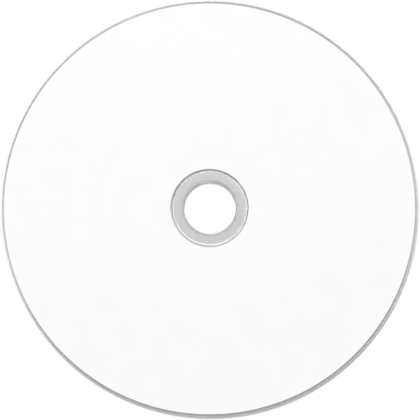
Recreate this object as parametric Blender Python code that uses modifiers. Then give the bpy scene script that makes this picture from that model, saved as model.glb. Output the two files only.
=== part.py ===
"""A recordable, printable DVD, label side up on its stacking ring.

The disc is a laminate. Two moulded half-discs of clear polycarbonate are bonded face to face by a
film of resin. The lower one carries the dye and the reflective metal, and the upper one carries the
white printable coat. Every piece is turned about the Z axis from a profile of (radius, height), and
the height is measured from the surface that the stacking ring stands on.
"""

import math

import bpy

# Overall sizes of the disc and the thickness of each layer, in metres.
DISC_DIAMETER = 0.1200
BORE_DIAMETER = 0.0150
HALF_THICKNESS = 0.00057
BOND_THICKNESS = 0.00005
FILM_THICKNESS = 0.00001
COAT_THICKNESS = 0.00003

# The outer corner of each half-disc, and the stepped mouth of its bore.
RIM_ROUNDING = 0.00012
BORE_CHAMFER = 0.00010
LEDGE_WIDTH = 0.00050
LEDGE_DEPTH = 0.00005

# The groove of the mould's stamper holder, in the bonded face of each half-disc. The land is the
# width of plain material between the bore and the groove.
GROOVE_LAND = 0.0025
GROOVE_WIDTH = 0.0010
GROOVE_DEPTH = 0.00015
GROOVE_FLANK = 0.00015

# The stacking ring stands out of the read side and keeps stacked discs apart.
STACK_RING_DIAMETER = 0.0350
STACK_RING_FOOT_WIDTH = 0.0006
STACK_RING_FLANK = 0.00025
STACK_RING_HEIGHT = 0.00020

# The white coat: its bare margins at the bore and the rim, its thinned edge, and how far off centre
# the printing screen laid it.
COAT_BORE_MARGIN = 0.0038
COAT_RIM_MARGIN = 0.00070
COAT_EDGE_TAPER = 0.00004
COAT_REGISTER_X = -0.00015

# The recording films and the resin. The metal laps past the dye at both of its edges, and the resin
# runs on into the groove, where it stops.
DYE_INNER_DIAMETER = 0.0440
DYE_RIM_MARGIN = 0.0014
METAL_INNER_LAP = 0.0015
METAL_OUTER_LAP = 0.0004
BOND_RIM_MARGIN = 0.00010
BOND_GROOVE_FILL = 0.00065

# Linear colour, roughness, and what else each finish needs.
CLEAR_POLYCARBONATE = {"colour": (0.86, 0.88, 0.88), "roughness": 0.05, "transmission": 1.0, "ior": 1.585}
CURED_RESIN = {"colour": (0.86, 0.85, 0.80), "roughness": 0.08, "transmission": 1.0, "ior": 1.51}
ORGANIC_DYE = {"colour": (0.16, 0.12, 0.36), "roughness": 0.15, "metallic": 0.8}
SILVER_FILM = {"colour": (0.82, 0.82, 0.84), "roughness": 0.12, "metallic": 1.0}
WHITE_PRINT_COAT = {"colour": (0.93, 0.93, 0.93), "roughness": 0.75}

# Facets round the disc and round a corner, and the angle above which an edge stays sharp.
SEGMENTS = 96
CORNER_SEGMENTS = 3
SHARP_ANGLE = math.radians(30)
MERGE_DISTANCE = 1e-6

# Radii shared by more than one piece.
DISC_RADIUS = DISC_DIAMETER / 2
BORE_RADIUS = BORE_DIAMETER / 2
GROOVE_INNER_RADIUS = BORE_RADIUS + GROOVE_LAND
GROOVE_OUTER_RADIUS = GROOVE_INNER_RADIUS + GROOVE_WIDTH
DYE_INNER_RADIUS = DYE_INNER_DIAMETER / 2
DYE_OUTER_RADIUS = DISC_RADIUS - DYE_RIM_MARGIN
METAL_INNER_RADIUS = DYE_INNER_RADIUS - METAL_INNER_LAP
METAL_OUTER_RADIUS = DYE_OUTER_RADIUS + METAL_OUTER_LAP
METAL_STEP_INNER_RADIUS = DYE_INNER_RADIUS - FILM_THICKNESS
METAL_STEP_OUTER_RADIUS = DYE_OUTER_RADIUS + FILM_THICKNESS

# Heights of the faces between the layers, from the foot of the stacking ring up.
READ_FACE_Z = STACK_RING_HEIGHT
BOND_BOTTOM_Z = READ_FACE_Z + HALF_THICKNESS
DYE_TOP_Z = BOND_BOTTOM_Z + FILM_THICKNESS
METAL_TOP_Z = DYE_TOP_Z + FILM_THICKNESS
BOND_TOP_Z = BOND_BOTTOM_Z + BOND_THICKNESS
READ_GROOVE_Z = BOND_BOTTOM_Z - GROOVE_DEPTH
LABEL_GROOVE_Z = BOND_TOP_Z + GROOVE_DEPTH
LABEL_FACE_Z = BOND_TOP_Z + HALF_THICKNESS
COAT_TOP_Z = LABEL_FACE_Z + COAT_THICKNESS


def clear_scene():
    """Remove whatever the file holds before the disc is built."""
    for obj in list(bpy.data.objects):
        bpy.data.objects.remove(obj, do_unlink=True)


def make_material(name, colour, roughness, metallic=0.0, transmission=0.0, ior=1.5):
    """A Principled material for one sub-part; colour is linear RGB."""
    material = bpy.data.materials.new(name)
    material.use_nodes = True
    shader = material.node_tree.nodes["Principled BSDF"]
    shader.inputs["Base Color"].default_value = (*colour, 1.0)
    shader.inputs["Roughness"].default_value = roughness
    shader.inputs["Metallic"].default_value = metallic
    shader.inputs["Transmission Weight"].default_value = transmission
    shader.inputs["IOR"].default_value = ior
    return material


def corner_arc(centre_radius, centre_z, rounding, start, end):
    """Points along a rounded corner from one angle to another, both ends included."""
    points = []
    for step in range(CORNER_SEGMENTS + 1):
        angle = start + (end - start) * step / CORNER_SEGMENTS
        radius = centre_radius + rounding * math.cos(angle)
        height = centre_z + rounding * math.sin(angle)
        points.append((radius, height))
    return points


def turned(name, profile, material, collection):
    """One closed solid: the profile, a closed loop that runs down its outer side, turned about Z."""
    outline = bpy.data.meshes.new(name + "_profile")
    count = len(profile)
    corners = [(radius, 0.0, height) for radius, height in profile]
    sides = [(index, (index + 1) % count) for index in range(count)]
    outline.from_pydata(corners, sides, [])

    piece = bpy.data.objects.new(name, outline)
    collection.objects.link(piece)
    screw = piece.modifiers.new("Turn", "SCREW")
    screw.axis = "Z"
    screw.angle = 2 * math.pi
    screw.steps = SEGMENTS
    screw.render_steps = SEGMENTS
    screw.use_merge_vertices = True
    screw.merge_threshold = MERGE_DISTANCE

    graph = bpy.context.evaluated_depsgraph_get()
    solid = bpy.data.meshes.new_from_object(piece.evaluated_get(graph))
    solid.name = name
    solid.shade_smooth()
    solid.set_sharp_from_angle(angle=SHARP_ANGLE)
    solid.materials.append(material)
    piece.modifiers.clear()
    piece.data = solid
    bpy.data.meshes.remove(outline)
    return piece


def stack_ring_profile(face_z, outward):
    """The stacking ring's section, from its inner flank to its outer one, out of the face at face_z."""
    foot_z = face_z + outward * STACK_RING_HEIGHT
    foot_inner = (STACK_RING_DIAMETER - STACK_RING_FOOT_WIDTH) / 2
    foot_outer = (STACK_RING_DIAMETER + STACK_RING_FOOT_WIDTH) / 2
    return [
        (foot_inner - STACK_RING_FLANK, face_z),
        (foot_inner, foot_z),
        (foot_outer, foot_z),
        (foot_outer + STACK_RING_FLANK, face_z),
    ]


def half_disc_profile(inner_z, outward, has_stack_ring):
    """The section of one half-disc, from its bonded face at inner_z to its outer face.

    outward is 1 when the outer face looks up and -1 when it looks down. The loop starts at the mouth
    of the bore, runs along the outer face to the rim and comes back along the bonded face. For a
    face that looks down it is turned round, so that it still runs down the rim.
    """
    outer_z = inner_z + outward * HALF_THICKNESS
    ledge_z = outer_z - outward * LEDGE_DEPTH
    ledge_radius = BORE_RADIUS + LEDGE_WIDTH
    groove_z = inner_z + outward * GROOVE_DEPTH

    profile = [
        (BORE_RADIUS, ledge_z - outward * BORE_CHAMFER),
        (BORE_RADIUS + BORE_CHAMFER, ledge_z),
        (ledge_radius, ledge_z),
        (ledge_radius + LEDGE_DEPTH, outer_z),
    ]
    if has_stack_ring:
        profile += stack_ring_profile(outer_z, outward)
    profile += corner_arc(
        DISC_RADIUS - RIM_ROUNDING,
        outer_z - outward * RIM_ROUNDING,
        RIM_ROUNDING,
        outward * math.pi / 2,
        0.0,
    )
    profile += [
        (DISC_RADIUS, inner_z),
        (GROOVE_OUTER_RADIUS, inner_z),
        (GROOVE_OUTER_RADIUS - GROOVE_FLANK, groove_z),
        (GROOVE_INNER_RADIUS + GROOVE_FLANK, groove_z),
        (GROOVE_INNER_RADIUS, inner_z),
        (BORE_RADIUS, inner_z),
    ]
    if outward < 0:
        profile.reverse()
    return profile


def read_side_substrate(collection):
    """The half-disc that the laser reads through, with the stacking ring on its outer face."""
    material = make_material("read_side_polycarbonate", **CLEAR_POLYCARBONATE)
    profile = half_disc_profile(BOND_BOTTOM_Z, -1, has_stack_ring=True)
    return turned("read_side_substrate", profile, material, collection)


def dye_layer(collection):
    """The organic dye that is burnt when the disc is written, spun on to the lower half-disc."""
    material = make_material("organic_dye", **ORGANIC_DYE)
    profile = [
        (DYE_INNER_RADIUS, DYE_TOP_Z),
        (DYE_OUTER_RADIUS, DYE_TOP_Z),
        (DYE_OUTER_RADIUS, BOND_BOTTOM_Z),
        (DYE_INNER_RADIUS, BOND_BOTTOM_Z),
    ]
    return turned("dye_layer", profile, material, collection)


def reflective_layer(collection):
    """The sputtered metal film. It covers the dye and laps down on to the half-disc on both sides."""
    material = make_material("silver_film", **SILVER_FILM)
    profile = [
        (METAL_INNER_RADIUS, DYE_TOP_Z),
        (METAL_STEP_INNER_RADIUS, DYE_TOP_Z),
        (METAL_STEP_INNER_RADIUS, METAL_TOP_Z),
        (METAL_STEP_OUTER_RADIUS, METAL_TOP_Z),
        (METAL_STEP_OUTER_RADIUS, DYE_TOP_Z),
        (METAL_OUTER_RADIUS, DYE_TOP_Z),
        (METAL_OUTER_RADIUS, BOND_BOTTOM_Z),
        (DYE_OUTER_RADIUS, BOND_BOTTOM_Z),
        (DYE_OUTER_RADIUS, DYE_TOP_Z),
        (DYE_INNER_RADIUS, DYE_TOP_Z),
        (DYE_INNER_RADIUS, BOND_BOTTOM_Z),
        (METAL_INNER_RADIUS, BOND_BOTTOM_Z),
    ]
    return turned("reflective_layer", profile, material, collection)


def adhesive_layer(collection):
    """The cured resin between the half-discs, from the groove to the rim, over and round the films."""
    material = make_material("cured_resin", **CURED_RESIN)
    bond_outer_radius = DISC_RADIUS - BOND_RIM_MARGIN
    bond_inner_radius = GROOVE_OUTER_RADIUS - BOND_GROOVE_FILL
    groove_corner_radius = GROOVE_OUTER_RADIUS - GROOVE_FLANK
    profile = [
        (bond_inner_radius, LABEL_GROOVE_Z),
        (groove_corner_radius, LABEL_GROOVE_Z),
        (GROOVE_OUTER_RADIUS, BOND_TOP_Z),
        (bond_outer_radius, BOND_TOP_Z),
        (bond_outer_radius, BOND_BOTTOM_Z),
        (METAL_OUTER_RADIUS, BOND_BOTTOM_Z),
        (METAL_OUTER_RADIUS, DYE_TOP_Z),
        (METAL_STEP_OUTER_RADIUS, DYE_TOP_Z),
        (METAL_STEP_OUTER_RADIUS, METAL_TOP_Z),
        (METAL_STEP_INNER_RADIUS, METAL_TOP_Z),
        (METAL_STEP_INNER_RADIUS, DYE_TOP_Z),
        (METAL_INNER_RADIUS, DYE_TOP_Z),
        (METAL_INNER_RADIUS, BOND_BOTTOM_Z),
        (GROOVE_OUTER_RADIUS, BOND_BOTTOM_Z),
        (groove_corner_radius, READ_GROOVE_Z),
        (bond_inner_radius, READ_GROOVE_Z),
    ]
    return turned("adhesive_layer", profile, material, collection)


def label_side_substrate(collection):
    """The half-disc that carries the printable coat."""
    material = make_material("label_side_polycarbonate", **CLEAR_POLYCARBONATE)
    profile = half_disc_profile(BOND_TOP_Z, 1, has_stack_ring=False)
    return turned("label_side_substrate", profile, material, collection)


def printable_coating(collection):
    """The white ink-receiving coat, screen printed on the upper half-disc, with thinned edges."""
    material = make_material("white_print_coat", **WHITE_PRINT_COAT)
    inner_radius = BORE_RADIUS + COAT_BORE_MARGIN
    outer_radius = DISC_RADIUS - COAT_RIM_MARGIN
    profile = [
        (inner_radius, LABEL_FACE_Z),
        (inner_radius + COAT_EDGE_TAPER, COAT_TOP_Z),
        (outer_radius - COAT_EDGE_TAPER, COAT_TOP_Z),
        (outer_radius, LABEL_FACE_Z),
    ]
    coat = turned("printable_coating", profile, material, collection)
    coat.location.x = COAT_REGISTER_X
    return coat


def main():
    """Build the disc's six layers, from the read side up, under one empty at its centre."""
    clear_scene()
    collection = bpy.data.collections.new("printable_dvd")
    bpy.context.scene.collection.children.link(collection)

    centre = bpy.data.objects.new("disc_centre", None)
    centre.empty_display_size = BORE_RADIUS
    collection.objects.link(centre)

    layers = (
        read_side_substrate,
        dye_layer,
        reflective_layer,
        adhesive_layer,
        label_side_substrate,
        printable_coating,
    )
    for build_layer in layers:
        build_layer(collection).parent = centre


main()
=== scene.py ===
"""Looks of a printable recordable disc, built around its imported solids.

Six turned pieces replace the six packed layers: two half-discs of clear polycarbonate, the resin
that bonds them, the dye and the metal film on the lower one, and the white ink-receiving coat on
the upper one. Each piece is a closed profile of rounded corners, carried round the disc's axis.
"""

import logging
import math
from dataclasses import dataclass, field, replace
from enum import Enum
from typing import Any

import bpy
import numpy as np
from bpy.types import Material, Node, NodeSocket, NodeTree, Object
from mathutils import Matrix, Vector


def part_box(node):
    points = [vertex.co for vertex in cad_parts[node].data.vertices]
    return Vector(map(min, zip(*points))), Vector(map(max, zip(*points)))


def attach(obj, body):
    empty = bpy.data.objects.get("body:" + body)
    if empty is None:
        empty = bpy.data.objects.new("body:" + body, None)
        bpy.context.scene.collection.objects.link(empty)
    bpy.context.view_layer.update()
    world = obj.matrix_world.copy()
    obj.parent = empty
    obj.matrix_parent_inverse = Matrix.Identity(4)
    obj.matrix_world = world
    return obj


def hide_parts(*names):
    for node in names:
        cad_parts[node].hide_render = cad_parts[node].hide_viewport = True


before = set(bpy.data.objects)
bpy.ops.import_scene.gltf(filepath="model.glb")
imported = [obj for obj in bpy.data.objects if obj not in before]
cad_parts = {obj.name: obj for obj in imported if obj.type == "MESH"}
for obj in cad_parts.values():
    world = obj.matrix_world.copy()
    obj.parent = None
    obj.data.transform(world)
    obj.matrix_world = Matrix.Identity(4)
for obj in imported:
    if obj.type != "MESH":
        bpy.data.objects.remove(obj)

LOG = logging.getLogger("printable_disc")
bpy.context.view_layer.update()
MM = 0.001
FULL_TURN = 2 * math.pi
IMAGE_SIDE_PX = 420
STACKING_RING_HEIGHT = 0.20 * MM


def srgb(code: str) -> tuple[float, float, float, float]:
    """Turns an sRGB hex colour into the linear colour that shaders take.

    Args:
        code: the colour as six hex digits after a hash mark.

    Returns:
        Linear red, green and blue, and an alpha of 1.
    """
    encoded = np.array([int(code[i : i + 2], 16) for i in (1, 3, 5)]) / 255
    linear = np.where(encoded <= 0.04045, encoded / 12.92, ((encoded + 0.055) / 1.055) ** 2.4)
    return (*linear.tolist(), 1.0)


def add_node(
    tree: NodeTree, kind: str, inputs: dict[Any, Any] | None = None, **settings: Any
) -> Node:
    """Adds one node with its settings, its plain values and its links.

    Args:
        tree: the node tree that takes the node.
        kind: the node's type without its ShaderNode prefix.
        inputs: for each input's name or number, a value or the output that feeds it.
        settings: the node's own properties.

    Returns:
        The new node.
    """
    node = tree.nodes.new("ShaderNode" + kind)
    for name, value in settings.items():
        setattr(node, name, value)
    for socket, value in (inputs or {}).items():
        if isinstance(value, NodeSocket):
            tree.links.new(value, node.inputs[socket])
        else:
            node.inputs[socket].default_value = value
    return node


def empty_tree(name: str) -> tuple[Material, NodeTree]:
    """Makes a material whose node tree is still bare.

    Args:
        name: the material's name.

    Returns:
        The material and its node tree.
    """
    material = bpy.data.materials.new(name)
    material.use_nodes = True
    material.node_tree.nodes.clear()
    return material, material.node_tree


def lamps_pass(tree: NodeTree, finish: Node, share: Any) -> None:
    """Finishes a material so that some of a lamp's light goes on to what is under it.

    A ray from a lit surface to a lamp goes straight through, dimmed by the given share. Every
    other ray meets the finish itself.

    Args:
        tree: the material's tree.
        finish: the shader that all other rays meet.
        share: how much of a lamp's light one face lets through, as a grey colour or a socket.
    """
    passing = add_node(tree, "BsdfTransparent", {"Color": share})
    lamp_ray = add_node(tree, "LightPath").outputs["Is Shadow Ray"]
    mixed = add_node(tree, "MixShader", {0: lamp_ray, 1: finish.outputs[0], 2: passing.outputs[0]})
    add_node(tree, "OutputMaterial", {"Surface": mixed.outputs[0]})


def picture_ray(tree: NodeTree) -> NodeSocket:
    """Tells the rays that carry the picture from those that gather light.

    Args:
        tree: the tree that takes the nodes.

    Returns:
        A socket that is 1 for a ray from the camera, straight or by way of mirrors and clear
        plastic, and 0 for one that has left a matt surface.
    """
    path = add_node(tree, "LightPath")
    kinds = ("Is Camera Ray", "Is Glossy Ray", "Is Transmission Ray")
    camera, glossy, through = (path.outputs[kind] for kind in kinds)
    mirrored = add_node(tree, "Math", {0: camera, 1: glossy}, operation="MAXIMUM").outputs[0]
    carried = add_node(tree, "Math", {0: mirrored, 1: through}, operation="MAXIMUM").outputs[0]
    fresh = add_node(
        tree, "Math", {0: path.outputs["Diffuse Depth"], 1: 0.5}, operation="LESS_THAN"
    ).outputs[0]
    return add_node(tree, "Math", {0: carried, 1: fresh}, operation="MULTIPLY").outputs[0]


def axis_distance(tree: NodeTree, place: NodeSocket) -> NodeSocket:
    """Works out how far a place lies from the disc's axis, as the length of its X and Y."""
    flat = add_node(tree, "VectorMath", {0: place, 1: (1, 1, 0)}, operation="MULTIPLY")
    return add_node(tree, "VectorMath", {0: flat.outputs[0]}, operation="LENGTH").outputs["Value"]


def uneven(tree: NodeTree, pattern: NodeSocket, middle: float, spread: float) -> NodeSocket:
    """Lets a value follow a pattern from 0 to 1, by as much above its middle as below."""
    ends = {"Value": pattern, "To Min": middle - spread, "To Max": middle + spread}
    return add_node(tree, "MapRange", ends).outputs[0]


class Side(Enum):
    """Which way a half-disc's outer face looks."""

    READ = -1
    LABEL = 1


@dataclass(frozen=True)
class Layer:
    """Where a packed layer lies: its radii and its heights, read from its solid's corners."""

    inner: float
    outer: float
    low: float
    high: float

    @classmethod
    def of(cls, node: str, centre_x: float = 0.0) -> "Layer":
        """Measures a packed layer.

        Args:
            node: the layer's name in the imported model.
            centre_x: how far its own axis lies from the disc's, along X.

        Returns:
            The layer's smallest and largest radius, and its lowest and highest point.
        """
        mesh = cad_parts[node].data
        places = np.empty(len(mesh.vertices) * 3, np.float32)
        mesh.vertices.foreach_get("co", places)
        places = places.reshape(-1, 3).astype(float)
        radii = np.hypot(places[:, 0] - centre_x, places[:, 1])
        heights = places[:, 2]
        return cls(*(float(x) for x in (radii.min(), radii.max(), heights.min(), heights.max())))


@dataclass(frozen=True)
class Room:
    """A ring-shaped room that resin fills, which tells the faces that it wets."""

    inner: float
    outer: float
    low: float
    high: float
    slack: float = 0.015 * MM

    def covers(self, radius: np.ndarray, height: np.ndarray) -> np.ndarray:
        """Finds the faces that resin wets, by the radius and the height of their middles."""
        between = (radius > self.inner) & (radius < self.outer)
        return between & (height > self.low - self.slack) & (height < self.high + self.slack)


def rounded_profile(table: np.ndarray, steps: int = 4, hold: float = 0.008 * MM) -> np.ndarray:
    """Rounds the corners of a closed profile, and holds each flat beside its corner.

    With a and b the unit vectors from a corner to its neighbours and p half the angle between
    them, the arc touches the sides at radius / tan p from the corner, about a centre that lies
    radius / sin p along a + b. Its points swing from the first radius vector to the second in
    equal angles. One more point on each side, a little way along it, keeps the flat's shading
    flat. A corner with a rounding of 0 stays as it is.

    Args:
        table: the profile's corners in order, as rows of radius, height and rounding.
        steps: how many stretches an arc has.
        hold: how far the holding points stand from the arc.

    Returns:
        The rounded profile's points in order, as rows of radius and height.
    """
    before = np.roll(table[:, :2], 1, axis=0) - table[:, :2]
    after = np.roll(table[:, :2], -1, axis=0) - table[:, :2]
    before /= np.linalg.norm(before, axis=1, keepdims=True)
    after /= np.linalg.norm(after, axis=1, keepdims=True)
    is_round = table[:, 2] > 0
    before, after = before[is_round], after[is_round]
    corners, radii = table[is_round, :2], table[is_round, 2:]
    half = np.arccos(np.clip((before * after).sum(axis=1), -1, 1))[:, None] / 2
    reach = radii / np.tan(half)
    middle = before + after
    middle /= np.linalg.norm(middle, axis=1, keepdims=True)
    centre = corners + middle * radii / np.sin(half)
    start, end = corners + before * reach, corners + after * reach
    swing = (math.pi - 2 * half)[:, :, None]
    share = np.linspace(0, 1, steps + 1)[None, :, None]
    spokes = (
        np.sin((1 - share) * swing) * (start - centre)[:, None]
        + np.sin(share * swing) * (end - centre)[:, None]
    ) / np.sin(swing)
    arcs = centre[:, None] + spokes
    held = np.concatenate(
        [(start + before * hold)[:, None], arcs, (end + after * hold)[:, None]], axis=1
    )
    counts = np.where(is_round, steps + 3, 1)
    profile = np.repeat(table[:, :2], counts, axis=0)
    profile[np.repeat(is_round, counts)] = held.reshape(-1, 2)
    return profile


def turned_surface(
    profile: np.ndarray, segments: int, waver: np.ndarray | float = 0.0, centre_x: float = 0.0
) -> np.ndarray:
    """Carries a closed profile once round the Z axis.

    The point of profile place i at turn j lies at x = c + (r_i + w_ij) cos(t_j),
    y = (r_i + w_ij) sin(t_j) and z = z_i, where t_j is the j-th equal share of a full turn.

    Args:
        profile: rows of radius and height.
        segments: how many shares the turn has.
        waver: how far each point strays outwards, by place and turn.
        centre_x: how far the turned shape's own axis lies from the disc's, along X.

    Returns:
        The points, by place, turn and coordinate.
    """
    turn = FULL_TURN * np.arange(segments)[None, :] / segments
    radius = profile[:, 0][:, None] + waver + 0 * turn
    height = profile[:, 1][:, None] + 0 * radius
    return np.stack([centre_x + radius * np.cos(turn), radius * np.sin(turn), height], axis=-1)


def bell_groove(
    inner: float, middle: float, outer: float, mouth: float, depth: float, steps: int = 14
) -> np.ndarray:
    """Draws a rounded groove without corners.

    At the share u of the way from its middle to either edge, it is deep by the full depth times
    (1 - u^2)^2.

    Args:
        inner: the radius of its inner edge.
        middle: the radius where it is deepest.
        outer: the radius of its outer edge.
        mouth: the height of the face that it is cut in.
        depth: the depth at its middle, with the sign of its direction.
        steps: how many stretches each half has.

    Returns:
        The groove's points from its outer edge to its inner one, as rows of radius and height.
    """
    share = np.linspace(1, -1, 2 * steps + 1)
    width = np.where(share > 0, outer - middle, middle - inner)
    return np.c_[middle + width * share, mouth + depth * (1 - share**2) ** 2]


def closed_mesh(
    name: str, grid: np.ndarray, finishes: list[Material], rooms: tuple[Room, ...] = ()
) -> Object:
    """Makes a closed, smooth piece from a grid of points whose rows and columns both close.

    Quad (i, j) joins point (i, j) to its next neighbours along both directions. The quads are
    turned over if the volume they enclose, a sixth of the sum of a . (b x c) over their triangles,
    is negative, so that the faces look outwards.

    Args:
        name: the piece's name.
        grid: the points, by place, turn and coordinate.
        finishes: the finish that it wears, and after it one for the faces in each room.
        rooms: where resin wets the faces, for a piece that has such faces.

    Returns:
        The piece, with its place in its mesh.
    """
    places, turns = grid.shape[:2]
    index = np.arange(places * turns).reshape(places, turns)
    across, along = np.roll(index, -1, axis=0), np.roll(index, -1, axis=1)
    both = np.roll(across, -1, axis=1)
    quads = np.stack([index, along, both, across], axis=-1).reshape(-1, 4)
    points = grid.reshape(-1, 3)
    a, b, c, d = (points[quads[:, k]] for k in range(4))
    volume = (a * np.cross(b, c)).sum() + (a * np.cross(c, d)).sum()
    if volume < 0:
        quads = quads[:, ::-1]
    mesh = bpy.data.meshes.new(name)
    mesh.from_pydata(points, [], quads)
    mesh.shade_smooth()
    for finish in finishes:
        mesh.materials.append(finish)
    middles = points[quads].mean(axis=1)
    radii = np.hypot(middles[:, 0], middles[:, 1])
    slots = np.zeros(len(quads), np.int32)
    for slot, room in enumerate(rooms, start=1):
        slots[room.covers(radii, middles[:, 2])] = slot
    mesh.polygons.foreach_set("material_index", slots)
    piece = bpy.data.objects.new(name, mesh)
    bpy.context.scene.collection.objects.link(piece)
    return piece


@dataclass(frozen=True)
class ClearPolycarbonate:
    """Optical-grade polycarbonate, injection moulded against a polished mould.

    The moulding gives a glassy surface with very fine turning rings from the mould's hub, and a
    land round the bore that the mould left finely matt, so it looks a shade greyer. Sloped faces
    bend the eye's line sideways through the disc, and a painted shade, a grey mixed into their
    colour, draws them greyer still. Walls turn light inwards and keep it, which draws a clear
    disc's dark outline: no lamp light leaves through a wall, and more of what enters by the bore's
    wall gets out below than of what enters by the rim's.

    The size of a normal's Z tells how level a face is, from 1 for level to 0 for upright.
    """

    name: str
    land_inner: float
    land_outer: float
    colour: str = "#FDFDFD"
    land_colour: str = "#ECECEC"
    ior: float = 1.585
    roughness: float = 0.03
    land_roughness: float = 0.06
    land_fade: float = 0.05 * MM
    least_matt: float = 0.7
    grain: float = 0.3 * MM
    grain_share: float = 0.6
    speckle_low: float = 0.35
    speckle_high: float = 0.65
    ring_pitch: float = 0.35 * MM
    ring_depth: float = 0.0002 * MM
    # Painted shade: the grey mixed into the colour of sloped faces.
    painted_slope_shade: str = "#5C5C5C"
    slope_starts: float = 0.76
    slope_full: float = 0.71
    upright_starts: float = 0.3
    upright_full: float = 0.15
    lamp_share: float = 0.95
    bore_inlet: float = 0.9
    rim_inlet: float = 0.3
    wall_starts: float = 0.8
    wall_full: float = 0.5

    def matt_share(self, tree: NodeTree, radius: NodeSocket, grain: NodeSocket) -> NodeSocket:
        """Draws where the mould left the plastic matt: all over the land, with fine specks.

        Args:
            tree: the material's tree.
            radius: the distance from the axis.
            grain: the plastic's grain.

        Returns:
            A socket that is 0 where the plastic is polished and 1 where it is most matt.
        """
        inner_fade, outer_fade = (
            add_node(
                tree, "MapRange", {"Value": radius, "From Min": start, "From Max": end},
                interpolation_type="SMOOTHSTEP",
            ).outputs[0]
            for start, end in (
                (self.land_inner - self.land_fade, self.land_inner),
                (self.land_outer + self.land_fade, self.land_outer),
            )
        )
        land = add_node(tree, "Math", {0: inner_fade, 1: outer_fade}, operation="MULTIPLY")
        speckle = add_node(
            tree, "MapRange",
            {
                "Value": grain,
                "From Min": self.speckle_low,
                "From Max": self.speckle_high,
                "To Min": self.least_matt,
            },
        )
        return add_node(
            tree, "Math", {0: land.outputs[0], 1: speckle.outputs[0]}, operation="MULTIPLY"
        ).outputs[0]

    def colour_with_painted_shade(self, tree: NodeTree, level: NodeSocket, matt: NodeSocket) -> NodeSocket:
        """Mixes the plastic's colour, a shade greyer on the land, with a painted shade on slopes.

        Args:
            tree: the material's tree.
            level: how level the face is.
            matt: how matt the place is.

        Returns:
            The colour, as a socket.
        """
        toned = add_node(
            tree, "Mix",
            {"Factor": matt, "A": srgb(self.colour), "B": srgb(self.land_colour)},
            data_type="RGBA",
        )
        # Where the painted shade goes: faces that slope, but not upright walls.
        not_flat = add_node(
            tree, "MapRange",
            {"Value": level, "From Min": self.slope_starts, "From Max": self.slope_full},
            interpolation_type="SMOOTHSTEP",
        )
        sloped = add_node(
            tree, "MapRange",
            {
                "Value": level,
                "From Min": self.upright_full,
                "From Max": self.upright_starts,
                "To Max": not_flat.outputs[0],
            },
        )
        # Painted shade: a flat grey mixed into the colour of sloped faces.
        return add_node(
            tree, "Mix",
            {"Factor": sloped.outputs[0], "A": toned.outputs[2], "B": srgb(self.painted_slope_shade)},
            data_type="RGBA",
        ).outputs[2]

    def turning_rings(self, tree: NodeTree, radius: NodeSocket, grain: NodeSocket) -> NodeSocket:
        """Raises the mould's turning rings, a sine of the distance from the axis, and the grain.

        Args:
            tree: the material's tree.
            radius: the distance from the axis.
            grain: the plastic's grain.

        Returns:
            The bumped normal, as a socket.
        """
        rings = add_node(
            tree, "Math", {0: radius, 1: FULL_TURN / self.ring_pitch}, operation="MULTIPLY"
        )
        wave = add_node(tree, "Math", {0: rings.outputs[0]}, operation="SINE")
        height = add_node(
            tree, "Math", {0: grain, 1: self.grain_share, 2: wave.outputs[0]},
            operation="MULTIPLY_ADD",
        )
        return add_node(
            tree, "Bump",
            {"Height": height.outputs[0], "Distance": self.ring_depth, "Strength": 1.0},
        ).outputs[0]

    def lamp_light(self, tree: NodeTree, radius: NodeSocket, level: NodeSocket) -> NodeSocket:
        """Works out the share of a lamp's light that a face lets through.

        A flat face lets almost all of it through. A wall lets none out, and lets in a share that
        falls from the bore out to the rim. A ray on its way to the lamp meets the wall where the
        light comes in from behind, which tells the two apart.

        Args:
            tree: the material's tree.
            radius: the distance from the axis.
            level: how level the face is.

        Returns:
            The share, as a socket.
        """
        from_inside = add_node(tree, "NewGeometry").outputs["Backfacing"]
        inlet = add_node(
            tree, "MapRange",
            {
                "Value": radius,
                "From Min": self.land_inner,
                "From Max": self.land_outer,
                "To Min": self.bore_inlet,
                "To Max": self.rim_inlet,
            },
        )
        wall_share = add_node(
            tree, "Math", {0: from_inside, 1: inlet.outputs[0]}, operation="MULTIPLY"
        )
        return add_node(
            tree, "MapRange",
            {
                "Value": level,
                "From Min": self.wall_starts,
                "From Max": self.wall_full,
                "To Min": self.lamp_share,
                "To Max": wall_share.outputs[0],
            },
            interpolation_type="SMOOTHSTEP",
        ).outputs[0]

    def build(self) -> Material:
        """Makes the material.

        Returns:
            The material.
        """
        material, tree = empty_tree(self.name)
        place = add_node(tree, "TexCoord").outputs["Object"]
        radius = axis_distance(tree, place)
        grain = add_node(
            tree, "TexNoise", {"Vector": place, "Scale": 1 / self.grain, "Detail": 3.0}
        ).outputs[0]
        matt = self.matt_share(tree, radius, grain)
        normal = add_node(tree, "TexCoord").outputs["Normal"]
        rise = add_node(tree, "SeparateXYZ", {0: normal}).outputs["Z"]
        level = add_node(tree, "Math", {0: rise}, operation="ABSOLUTE").outputs[0]
        roughness = add_node(
            tree, "MapRange",
            {"Value": matt, "To Min": self.roughness, "To Max": self.land_roughness},
        )
        plastic = add_node(
            tree, "BsdfPrincipled",
            {
                "Base Color": self.colour_with_painted_shade(tree, level, matt),
                "Roughness": roughness.outputs[0],
                "IOR": self.ior,
                "Transmission Weight": 1.0,
                "Normal": self.turning_rings(tree, radius, grain),
            },
        )
        lamps_pass(tree, plastic, self.lamp_light(tree, radius, level))
        return material


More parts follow.
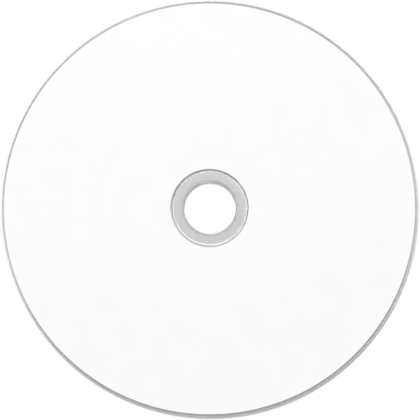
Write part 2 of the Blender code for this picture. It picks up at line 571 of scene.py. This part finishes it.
@dataclass(frozen=True)
class CuredResin:
    """Clear ultraviolet-cured acrylic resin, spun between the half-discs.

    It cures water-clear, so all that shows is a faint line where it ends, by the groove and at the
    rim.
    """

    name: str = "cured_acrylic_resin"
    colour: str = "#F7F7F7"
    ior: float = 1.51
    roughness: float = 0.04
    roughness_spread: float = 0.02
    ripple: float = 3.0 * MM
    ripple_depth: float = 0.0005 * MM
    lamp_share: str = "#F0F0F0"

    def build(self) -> Material:
        """Makes the material.

        Returns:
            The material.
        """
        material, tree = empty_tree(self.name)
        place = add_node(tree, "TexCoord").outputs["Object"]
        ripple = add_node(tree, "TexNoise", {"Vector": place, "Scale": 1 / self.ripple})
        roughness = uneven(tree, ripple.outputs[0], self.roughness, self.roughness_spread)
        bump = add_node(tree, "Bump", {"Height": ripple.outputs[0], "Distance": self.ripple_depth})
        resin = add_node(
            tree, "BsdfPrincipled",
            {
                "Base Color": srgb(self.colour),
                "Roughness": roughness,
                "IOR": self.ior,
                "Transmission Weight": 1.0,
                "Normal": bump.outputs[0],
            },
        )
        lamps_pass(tree, resin, srgb(self.lamp_share))
        return material


@dataclass(frozen=True)
class WettedFace:
    """The face where cured resin wets the moulded plastic.

    The two have almost the same index, so nothing shows there and light goes on unbent. A faint
    haze in the resin, in clouds some 5 mm across, is all that remains.
    """

    name: str = "wetted_bond_face"
    clear: str = "#FFFFFF"
    haze: str = "#FDFDFD"
    cloud: float = 5.0 * MM

    def build(self) -> Material:
        """Makes the material.

        Returns:
            The material.
        """
        material, tree = empty_tree(self.name)
        place = add_node(tree, "TexCoord").outputs["Object"]
        cloud = add_node(tree, "TexNoise", {"Vector": place, "Scale": 1 / self.cloud})
        colour = add_node(
            tree, "Mix",
            {"Factor": cloud.outputs[0], "A": srgb(self.clear), "B": srgb(self.haze)},
            data_type="RGBA",
        )
        passing = add_node(tree, "BsdfTransparent", {"Color": colour.outputs[2]})
        add_node(tree, "OutputMaterial", {"Surface": passing.outputs[0]})
        return material


@dataclass(frozen=True)
class MetalOnGrooves:
    """A metal film that follows the moulded spiral groove, alone or seen through the dye.

    The film is a bright mirror, and the groove's turns, 0.74 micrometres apart, spread its
    highlights across the tracks into the radial streak that every disc shows. The groove is far
    too fine for the picture, so the streak comes from the anisotropy, and bands about 0.4 mm wide
    stand in for the zones that the eye sees. The dye gives the interference tint of a thin film.
    """

    name: str
    colour: str
    inner_colour: str
    inner: float
    outer: float
    roughness: float = 0.12
    spread_share: float = 0.3
    anisotropy: float = 0.75
    film_nm: float = 0.0
    band: float = 0.4 * MM
    band_share: float = 0.3

    def build(self) -> Material:
        """Makes the material.

        Returns:
            The material.
        """
        material, tree = empty_tree(self.name)
        place = add_node(tree, "TexCoord").outputs["Object"]
        radius = axis_distance(tree, place)
        share = add_node(
            tree, "MapRange", {"Value": radius, "From Min": self.inner, "From Max": self.outer}
        )
        bands = add_node(
            tree, "TexNoise", {"W": radius, "Scale": 1 / self.band}, noise_dimensions="1D"
        )
        mottle = add_node(
            tree, "Math", {0: bands.outputs[0], 1: self.band_share, 2: share.outputs[0]},
            operation="MULTIPLY_ADD",
        )
        colour = add_node(
            tree, "Mix",
            {"Factor": mottle.outputs[0], "A": srgb(self.inner_colour), "B": srgb(self.colour)},
            data_type="RGBA",
        )
        spread = self.roughness * self.spread_share
        roughness = uneven(tree, bands.outputs[0], self.roughness, spread)
        round_about = add_node(
            tree, "VectorMath", {0: place, 1: (0, 0, 1)}, operation="CROSS_PRODUCT"
        )
        tangent = add_node(tree, "VectorMath", {0: round_about.outputs[0]}, operation="NORMALIZE")
        metal = add_node(
            tree, "BsdfPrincipled",
            {
                "Base Color": colour.outputs[2],
                "Metallic": 1.0,
                "Roughness": roughness,
                "Anisotropic": self.anisotropy,
                "Tangent": tangent.outputs[0],
                "Thin Film Thickness": self.film_nm,
            },
        )
        add_node(tree, "OutputMaterial", {"Surface": metal.outputs[0]})
        return material


@dataclass(frozen=True)
class InkReceivingCoat:
    """White silica-filled lacquer, screen printed in two passes and cured.

    Its open, microporous surface drinks ink, so it is almost without shine. The screen's weave
    leaves a grain of about 0.12 mm and the squeegee a barely visible unevenness some 8 mm across.
    It is thin enough that some of a lamp's light goes on through it.
    """

    name: str = "white_ink_receiving_lacquer"
    colour: str = "#FDFDFD"
    shade_colour: str = "#FBFBFB"
    roughness: float = 0.62
    roughness_spread: float = 0.1
    shine: float = 0.25
    grain: float = 0.12 * MM
    grain_depth: float = 0.003 * MM
    grain_strength: float = 0.8
    cloud: float = 8.0 * MM
    mottle_low: float = 0.15
    mottle_high: float = 0.35
    lamp_share: str = "#B6B6B6"

    def build(self) -> Material:
        """Makes the material.

        Returns:
            The material.
        """
        material, tree = empty_tree(self.name)
        place = add_node(tree, "TexCoord").outputs["Object"]
        grain, cloud = (
            add_node(tree, "TexNoise", {"Vector": place, "Scale": 1 / width, "Detail": detail})
            for width, detail in ((self.grain, 4.0), (self.cloud, 2.0))
        )
        mottle = add_node(
            tree, "Math", {0: grain.outputs[0], 1: cloud.outputs[0]}, operation="MULTIPLY"
        )
        shade = add_node(
            tree, "MapRange",
            {
                "Value": mottle.outputs[0],
                "From Min": self.mottle_low,
                "From Max": self.mottle_high,
            },
        )
        colour = add_node(
            tree, "Mix",
            {"Factor": shade.outputs[0], "A": srgb(self.shade_colour), "B": srgb(self.colour)},
            data_type="RGBA",
        )
        roughness = uneven(tree, grain.outputs[0], self.roughness, self.roughness_spread)
        bump = add_node(
            tree, "Bump",
            {
                "Height": grain.outputs[0],
                "Distance": self.grain_depth,
                "Strength": self.grain_strength,
            },
        )
        coat = add_node(
            tree, "BsdfPrincipled",
            {
                "Base Color": colour.outputs[2],
                "Roughness": roughness,
                "Specular IOR Level": self.shine,
                "Normal": bump.outputs[0],
            },
        )
        lamps_pass(tree, coat, srgb(self.lamp_share))
        return material


@dataclass
class DiscSizes:
    """The sizes that every piece shares, in metres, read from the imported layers.

    The bore and the rim are radii, and the faces and the coat's top are heights.
    """

    bore: float
    rim: float
    read_face: float
    bond_low: float
    bond_high: float
    label_face: float
    coat_top: float
    segments: int = 720
    seam: float = 0.002 * MM

    @classmethod
    def from_frame(cls) -> "DiscSizes":
        """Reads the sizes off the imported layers.

        Returns:
            The shared sizes.
        """
        read, label = Layer.of("read_side_substrate"), Layer.of("label_side_substrate")
        coat = Layer.of("printable_coating")
        return cls(
            bore=label.inner,
            rim=label.outer,
            read_face=read.low + STACKING_RING_HEIGHT,
            bond_low=read.high,
            bond_high=label.low,
            label_face=label.high,
            coat_top=coat.high,
        )


@dataclass
class HalfDisc:
    """One moulded half-disc, with a stepped and chamfered bore and a rounded rim.

    A rounded groove, where the mould's stamper was held, opens in its bond face. The read side
    also has a stacking ring on its outer face. The label side also has a fine V-shaped line in its
    bond face, just short of the groove, where two parts of the mould met. The groove and the line
    are placed by their distance from the bore's wall, and the ring by its radius.
    """

    sizes: DiscSizes
    side: Side
    room: Room
    bond_face: Material
    chamfer: float = 0.18 * MM
    chamfer_height: float = 0.32 * MM
    ledge_width: float = 0.50 * MM
    ledge_depth: float = 0.08 * MM
    ledge_flank: float = 0.07 * MM
    groove_depth: float = 0.22 * MM
    groove_edge: float = 3.14 * MM
    groove_middle: float = 3.34 * MM
    parting_line: float = 3.00 * MM
    parting_depth: float = 0.06 * MM
    rim_rounding: float = 0.12 * MM
    ring_middle: float = 17.5 * MM
    ring_foot: float = 0.6 * MM
    ring_flank: float = 0.25 * MM
    ring_height: float = STACKING_RING_HEIGHT

    def profile(self) -> np.ndarray:
        """Works out the half-disc's section, from the mouth of the bore out to the rim and back.

        Returns:
            The rounded profile, as rows of radius and height.
        """
        s, up = self.sizes, self.side.value
        outer_z = s.label_face if self.side is Side.LABEL else s.read_face
        inner_z = s.bond_high if self.side is Side.LABEL else s.bond_low
        ledge_z = outer_z - up * self.ledge_depth
        ledge_end = s.bore + self.ledge_width
        crisp, soft = 0.012 * MM, 0.03 * MM
        rows = [
            (s.bore, ledge_z - up * self.chamfer_height, soft),
            (s.bore + self.chamfer, ledge_z, soft),
            (ledge_end, ledge_z, crisp),
            (ledge_end + self.ledge_flank, outer_z, crisp),
        ]
        if self.side is Side.READ:
            near = self.ring_middle - self.ring_foot / 2
            far = self.ring_middle + self.ring_foot / 2
            foot_z = outer_z + up * self.ring_height
            rows += [
                (near - self.ring_flank, outer_z, soft),
                (near, foot_z, soft),
                (far, foot_z, soft),
                (far + self.ring_flank, outer_z, soft),
            ]
        rows += [
            (s.rim, outer_z, self.rim_rounding),
            (s.rim, inner_z, crisp),
            (self.room.outer, inner_z, 0.0),
        ]
        groove = bell_groove(
            s.bore + self.groove_edge, s.bore + self.groove_middle, self.room.inner,
            inner_z, up * self.groove_depth,
        )
        rows += [(radius, height, 0.0) for radius, height in groove]
        if self.side is Side.LABEL:
            line, deep, fine = s.bore + self.parting_line, self.parting_depth, 0.005 * MM
            rows += [
                (line + deep, inner_z, fine),
                (line, inner_z + up * deep, fine),
                (line - deep, inner_z, fine),
            ]
        rows.append((s.bore, inner_z, crisp))
        return rounded_profile(np.array(rows))

    def build(self) -> Object:
        """Makes the half-disc and puts it in place of its packed layer.

        Returns:
            The finished piece.
        """
        side = self.side.name.lower()
        finish = ClearPolycarbonate(
            f"clear_polycarbonate_{side}_side",
            land_inner=self.sizes.bore + self.chamfer,
            land_outer=self.sizes.bore + self.groove_edge,
        )
        grid = turned_surface(self.profile(), self.sizes.segments)
        piece = closed_mesh(
            f"{side}_half_disc", grid, [finish.build(), self.bond_face], (self.room,)
        )
        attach(piece, "root")
        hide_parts(f"{side}_side_substrate")
        return piece


def edge_waver(
    profile: np.ndarray, segments: int, edge: float, reach: float, depth: float, seed: int
) -> np.ndarray:
    """Works out how an edge that was spun or printed strays from a true circle.

    The stray at turn t is a sum of twelve sines of t, each with a random whole number of waves, a
    random phase and a height of one over the square root of that number. The sum is scaled to the
    given depth and fades out away from the edge, as a bell curve of the distance in radius.

    Args:
        profile: rows of radius and height.
        segments: how many shares the turn has.
        edge: the radius of the edge that strays.
        reach: how far from the edge the stray fades out.
        depth: the largest stray.
        seed: chooses the random numbers.

    Returns:
        The stray outwards, by place and turn.
    """
    sines, fewest_waves, most_waves = 12, 3, 89
    rng = np.random.default_rng(seed)
    turn = FULL_TURN * np.arange(segments) / segments
    waves = rng.integers(fewest_waves, most_waves + 1, sines)[:, None]
    phases = rng.uniform(0, FULL_TURN, sines)[:, None]
    stray = (np.sin(waves * turn + phases) / np.sqrt(waves)).sum(axis=0)
    stray *= depth / np.abs(stray).max()
    near = np.exp(-(((profile[:, 0] - edge) / reach) ** 2))
    return near[:, None] * stray[None, :]


@dataclass
class BondResin:
    """The cured resin between the half-discs, from the groove's edge out, over the metal film.

    Short of the rim it thins to a web with trapped air above and below it.
    """

    sizes: DiscSizes
    bond_face: Material
    bond_inner: float = 11.15 * MM
    bond_outer: float = 59.15 * MM
    web: float = 0.010 * MM
    stray: float = 0.02 * MM
    stray_reach: float = 0.5 * MM

    def room(self) -> Room:
        """Works out the room where the resin wets both half-discs."""
        return Room(self.bond_inner, self.bond_outer, self.sizes.bond_low, self.sizes.bond_high)

    def profile(self) -> np.ndarray:
        """Works out the resin's section, from its inner edge out above the metal and back.

        Returns:
            The rounded profile, as rows of radius and height.
        """
        room, metal, seam = self.room(), Layer.of("reflective_layer"), self.sizes.seam
        rim, middle = Layer.of("adhesive_layer").outer, (room.low + room.high) / 2
        low, high, over = room.low + seam, room.high - seam, metal.high + seam
        web_low, web_high = middle - self.web / 2, middle + self.web / 2
        tiny = 0.001 * MM
        return rounded_profile(np.array([
            (room.inner + self.stray, high, tiny),
            (room.outer - seam, high, tiny),
            (room.outer, web_high, tiny),
            (rim, web_high, tiny),
            (rim, web_low, tiny),
            (room.outer, web_low, tiny),
            (room.outer - seam, low, tiny),
            (metal.outer + seam, low, tiny),
            (metal.outer + seam, over, tiny),
            (metal.inner - seam, over, tiny),
            (metal.inner - seam, low, tiny),
            (room.inner + self.stray, low, tiny),
        ]), steps=2, hold=0.002 * MM)

    def build(self) -> Object:
        """Makes the resin and puts it in place of its packed layer.

        Returns:
            The finished piece.
        """
        room, profile = self.room(), self.profile()
        inner = room.inner + self.stray
        waver = edge_waver(
            profile, self.sizes.segments, inner, self.stray_reach, self.stray, seed=3
        )
        piece = closed_mesh(
            "bond_resin",
            turned_surface(profile, self.sizes.segments, waver),
            [CuredResin().build(), self.bond_face],
            (replace(room, inner=inner + self.stray),),
        )
        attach(piece, "root")
        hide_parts("adhesive_layer")
        return piece


@dataclass
class RecordingFilms:
    """The spun dye on the lower half-disc and the sputtered metal over it."""

    sizes: DiscSizes
    dye_stray: float = 0.05 * MM
    stray_reach: float = 1.0 * MM

    def film(
        self, name: str, inner: float, outer: float, low: float, high: float,
        stray: float, material: Material,
    ) -> Object:
        """Makes one flat film.

        Args:
            name: the piece's name.
            inner: its inner radius.
            outer: its outer radius.
            low: its lower height.
            high: its upper height.
            stray: how far its inner edge strays from a circle.
            material: its finish.

        Returns:
            The film.
        """
        tiny = 0.0008 * MM
        rows = [(inner, high, tiny), (outer, high, tiny), (outer, low, tiny), (inner, low, tiny)]
        profile = rounded_profile(np.array(rows), steps=2, hold=0.002 * MM)
        waver = edge_waver(
            profile, self.sizes.segments, inner, self.stray_reach, stray, seed=11
        )
        return closed_mesh(name, turned_surface(profile, self.sizes.segments, waver), [material])

    def build(self) -> list[Object]:
        """Makes both films and puts them in place of their packed layers.

        Returns:
            The dye film and the metal film.
        """
        s = self.sizes
        dye, metal = Layer.of("dye_layer"), Layer.of("reflective_layer")
        azo = MetalOnGrooves(
            "azo_dye_over_silver", "#5B4BA8", "#6E62B4", dye.inner, dye.outer, film_nm=420.0
        )
        silver = MetalOnGrooves(
            "sputtered_silver_alloy", "#E4E3E6", "#DDDDE0", metal.inner, metal.outer,
            roughness=0.06,
        )
        pieces = [
            self.film(
                "dye_film", dye.inner, dye.outer, dye.low + s.seam, dye.high,
                self.dye_stray, azo.build(),
            ),
            self.film(
                "metal_film", metal.inner, metal.outer, dye.high + s.seam, metal.high,
                0.0, silver.build(),
            ),
        ]
        for piece, node, slot in zip(
            pieces, ("dye_layer", "reflective_layer"), ("organic_dye", "silver_film"), strict=True
        ):
            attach(piece, "root")
            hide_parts(node)
        return pieces


@dataclass
class PrintCoat:
    """The white coat, a hair off centre as the screen laid it, with slightly ragged edges."""

    sizes: DiscSizes
    taper: float = 0.02 * MM
    stray: float = 0.010 * MM
    stray_reach: float = 0.5 * MM

    def build(self) -> Object:
        """Makes the coat and puts it in place of its packed layer.

        Returns:
            The finished piece.
        """
        s = self.sizes
        low_corner, high_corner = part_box("printable_coating")
        centre_x = (low_corner.x + high_corner.x) / 2
        layer = Layer.of("printable_coating", centre_x)
        inner, outer = layer.inner, layer.outer
        low, high = s.label_face + s.seam, s.coat_top
        foot, shoulder = 0.002 * MM, 0.012 * MM
        profile = rounded_profile(np.array([
            (inner, low, foot),
            (inner + self.taper, high, shoulder),
            (outer - self.taper, high, shoulder),
            (outer, low, foot),
        ]))
        waver = edge_waver(profile, s.segments, inner, self.stray_reach, self.stray, seed=5)
        waver += edge_waver(profile, s.segments, outer, self.stray_reach, self.stray, seed=7)
        piece = closed_mesh(
            "ink_receiving_coat",
            turned_surface(profile, s.segments, waver, centre_x),
            [InkReceivingCoat().build()],
        )
        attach(piece, "root")
        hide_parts("printable_coating")
        return piece


@dataclass
class Studio:
    """A white table under one soft lamp, a pale surround and a camera almost straight above.

    A height in the surround is the Z of the direction that a ray leaves in, 1 for straight up.
    """

    sizes: DiscSizes
    floor_side: float = 1.8
    floor_drop: float = 0.01 * MM
    floor_colour: str = "#F8F8F8"
    floor_glow: float = 0.145
    floor_grain: float = 2 * MM
    floor_roughness: float = 0.9
    floor_roughness_spread: float = 0.05
    lamp_distance: float = 2.5
    lamp_from_zenith_deg: float = 27.0
    lamp_bearing_deg: float = 100.0
    lamp_side: float = 0.55
    lamp_level: float = 0.56
    sky_level: float = 0.445
    overhead_level: float = 0.35
    dims_from: float = 0.35
    dims_to: float = 0.85
    bank_level: float = 2.7
    bank_rises_to: float = 0.1
    bank_falls_from: float = 0.96
    bank_falls_to: float = 0.985
    camera_distance: float = 0.6
    camera_tilt_deg: float = 2.5
    sensor_width_mm: float = 36.0
    rim_radius_px: float = 208.1
    hub_place_px: tuple[float, float] = (209.95, 208.0)

    def build_floor(self) -> Object:
        """Makes the white table that the disc lies on.

        A camera, mirror or glass ray sees some glow on top of the lit surface, so that the lit
        table looks white and the disc's shadow still shows on it.

        Returns:
            The table's surface.
        """
        material, tree = empty_tree("matt_white_table")
        place = add_node(tree, "TexCoord").outputs["Object"]
        grain = add_node(
            tree, "TexNoise", {"Vector": place, "Scale": 1 / self.floor_grain, "Detail": 2.0}
        )
        roughness = uneven(
            tree, grain.outputs[0], self.floor_roughness, self.floor_roughness_spread
        )
        matt = add_node(
            tree, "BsdfPrincipled",
            {
                "Base Color": srgb(self.floor_colour),
                "Roughness": roughness,
                "Specular IOR Level": 0.0,
            },
        )
        seen = picture_ray(tree)
        strength = add_node(tree, "Math", {0: seen, 1: self.floor_glow}, operation="MULTIPLY")
        glow = add_node(tree, "Emission", {"Strength": strength.outputs[0]})
        lit = add_node(tree, "AddShader", {0: matt.outputs[0], 1: glow.outputs[0]})
        add_node(tree, "OutputMaterial", {"Surface": lit.outputs[0]})
        half, z = self.floor_side / 2, -self.floor_drop
        mesh = bpy.data.meshes.new("table_top")
        mesh.from_pydata(
            [(-half, -half, z), (half, -half, z), (half, half, z), (-half, half, z)],
            [],
            [(0, 1, 2, 3)],
        )
        mesh.materials.append(material)
        floor = bpy.data.objects.new("table_top", mesh)
        bpy.context.scene.collection.objects.link(floor)
        return floor

    def build_surround(self) -> None:
        """Makes the pale surround, which looks white at eye level and dimmer overhead.

        Rays that only gather light see an even fill in its place. Rays that leave the clear
        plastic upwards see bright banks of light all round too, but none straight overhead, which
        draws a bright line along each sloped face.
        """
        world = bpy.data.worlds.new("pale_surround")
        world.use_nodes = True
        tree = world.node_tree
        tree.nodes.clear()
        direction = add_node(tree, "TexCoord").outputs["Generated"]
        height = add_node(tree, "SeparateXYZ", {0: direction}).outputs["Z"]
        shown = add_node(
            tree, "MapRange",
            {
                "Value": height,
                "From Min": self.dims_from,
                "From Max": self.dims_to,
                "To Min": 1.0,
                "To Max": self.overhead_level,
            },
            interpolation_type="SMOOTHSTEP",
        )
        above = add_node(
            tree, "MapRange",
            {"Value": height, "From Max": self.bank_rises_to, "To Max": self.bank_level},
        )
        banks = add_node(
            tree, "MapRange",
            {
                "Value": height,
                "From Min": self.bank_falls_to,
                "From Max": self.bank_falls_from,
                "To Max": above.outputs[0],
            },
        )
        through = add_node(tree, "LightPath").outputs["Is Transmission Ray"]
        inside = add_node(
            tree, "Math", {0: through, 1: banks.outputs[0], 2: shown.outputs[0]},
            operation="MULTIPLY_ADD",
        )
        level = add_node(
            tree, "Mix",
            {"Factor": picture_ray(tree), "A": self.sky_level, "B": inside.outputs[0]},
            data_type="FLOAT",
        )
        back = add_node(
            tree, "Background", {"Color": srgb("#FFFFFF"), "Strength": level.outputs[0]}
        )
        add_node(tree, "OutputWorld", {"Surface": back.outputs[0]})
        world.cycles.sampling_method = "NONE"
        bpy.context.scene.world = world

    def build_lamp(self) -> Object:
        """Hangs the soft lamp beyond the top of the picture, a little to its left.

        A square lamp of power P at distance d gives a face that looks at it the level
        P / (pi d)^2, where a level of 1 shows colours as they are written.

        Returns:
            The lamp.
        """
        lean = math.radians(self.lamp_from_zenith_deg)
        bearing = math.radians(self.lamp_bearing_deg)
        away = Vector((
            math.sin(lean) * math.cos(bearing), math.sin(lean) * math.sin(bearing), math.cos(lean)
        ))
        data = bpy.data.lights.new("soft_lamp", "AREA")
        data.size = self.lamp_side
        data.energy = self.lamp_level * (math.pi * self.lamp_distance) ** 2 / math.cos(lean)
        lamp = bpy.data.objects.new("soft_lamp", data)
        lamp.visible_transmission = False
        lamp.location = away * self.lamp_distance
        lamp.rotation_euler = away.to_track_quat("Z", "Y").to_euler()
        bpy.context.scene.collection.objects.link(lamp)
        return lamp

    def build_camera(self) -> Object:
        """Sets the camera above the disc, tilted a few degrees towards the viewer.

        The lens makes the rim as wide in the picture as in the photograph: with the picture's side
        as n pixels, focal length over sensor width is radius in pixels times distance over n times
        the real radius. The camera aims as far from the hub as the hub lies from the picture's
        middle.

        Returns:
            The camera.
        """
        tilt, s = math.radians(self.camera_tilt_deg), self.sizes
        data = bpy.data.cameras.new("overhead_camera")
        data.sensor_width = self.sensor_width_mm
        data.lens = (
            data.sensor_width * self.rim_radius_px * self.camera_distance / (IMAGE_SIDE_PX * s.rim)
        )
        metres_per_px = s.rim / self.rim_radius_px
        aim = Vector((
            (IMAGE_SIDE_PX / 2 - self.hub_place_px[0]) * metres_per_px,
            (self.hub_place_px[1] - IMAGE_SIDE_PX / 2) * metres_per_px,
            s.label_face,
        ))
        back = Vector((0.0, -math.sin(tilt), math.cos(tilt)))
        camera = bpy.data.objects.new("overhead_camera", data)
        camera.location = aim + back * self.camera_distance
        camera.rotation_euler = (tilt, 0.0, 0.0)
        data.clip_start, data.clip_end = 0.01, 50.0
        bpy.context.scene.collection.objects.link(camera)
        bpy.context.scene.camera = camera
        return camera


@dataclass
class PrintableDisc:
    """The whole disc, layer by layer from the read side up."""

    sizes: DiscSizes = field(default_factory=DiscSizes.from_frame)

    def build(self) -> list[Object]:
        """Makes every layer in the order that the disc is made in.

        Returns:
            The finished pieces.
        """
        bond_face = WettedFace().build()
        resin = BondResin(self.sizes, bond_face)
        pieces = [HalfDisc(self.sizes, Side.READ, resin.room(), bond_face).build()]
        pieces += RecordingFilms(self.sizes).build()
        pieces.append(resin.build())
        pieces.append(HalfDisc(self.sizes, Side.LABEL, resin.room(), bond_face).build())
        pieces.append(PrintCoat(self.sizes).build())
        return pieces


def corners(box: tuple[Vector, Vector]) -> list[list[float]]:
    """Writes a box's two corners as plain lists."""
    return [list(corner) for corner in box]


def main() -> None:
    """Builds the disc and the studio."""
    logging.basicConfig(level=logging.INFO, format="%(message)s")
    disc = PrintableDisc()
    for piece in disc.build():
        LOG.info("%s: %d faces", piece.name, len(piece.data.polygons))
    studio = Studio(disc.sizes)
    studio.build_floor()
    studio.build_surround()
    studio.build_lamp()
    studio.build_camera()
    bpy.context.scene.view_settings.view_transform = "Standard"
    bpy.context.scene.cycles.blur_glossy = 0.0
    bpy.context.scene.cycles.transparent_max_bounces = 32
    bpy.context.view_layer.update()


if __name__ == "__main__":
    main()
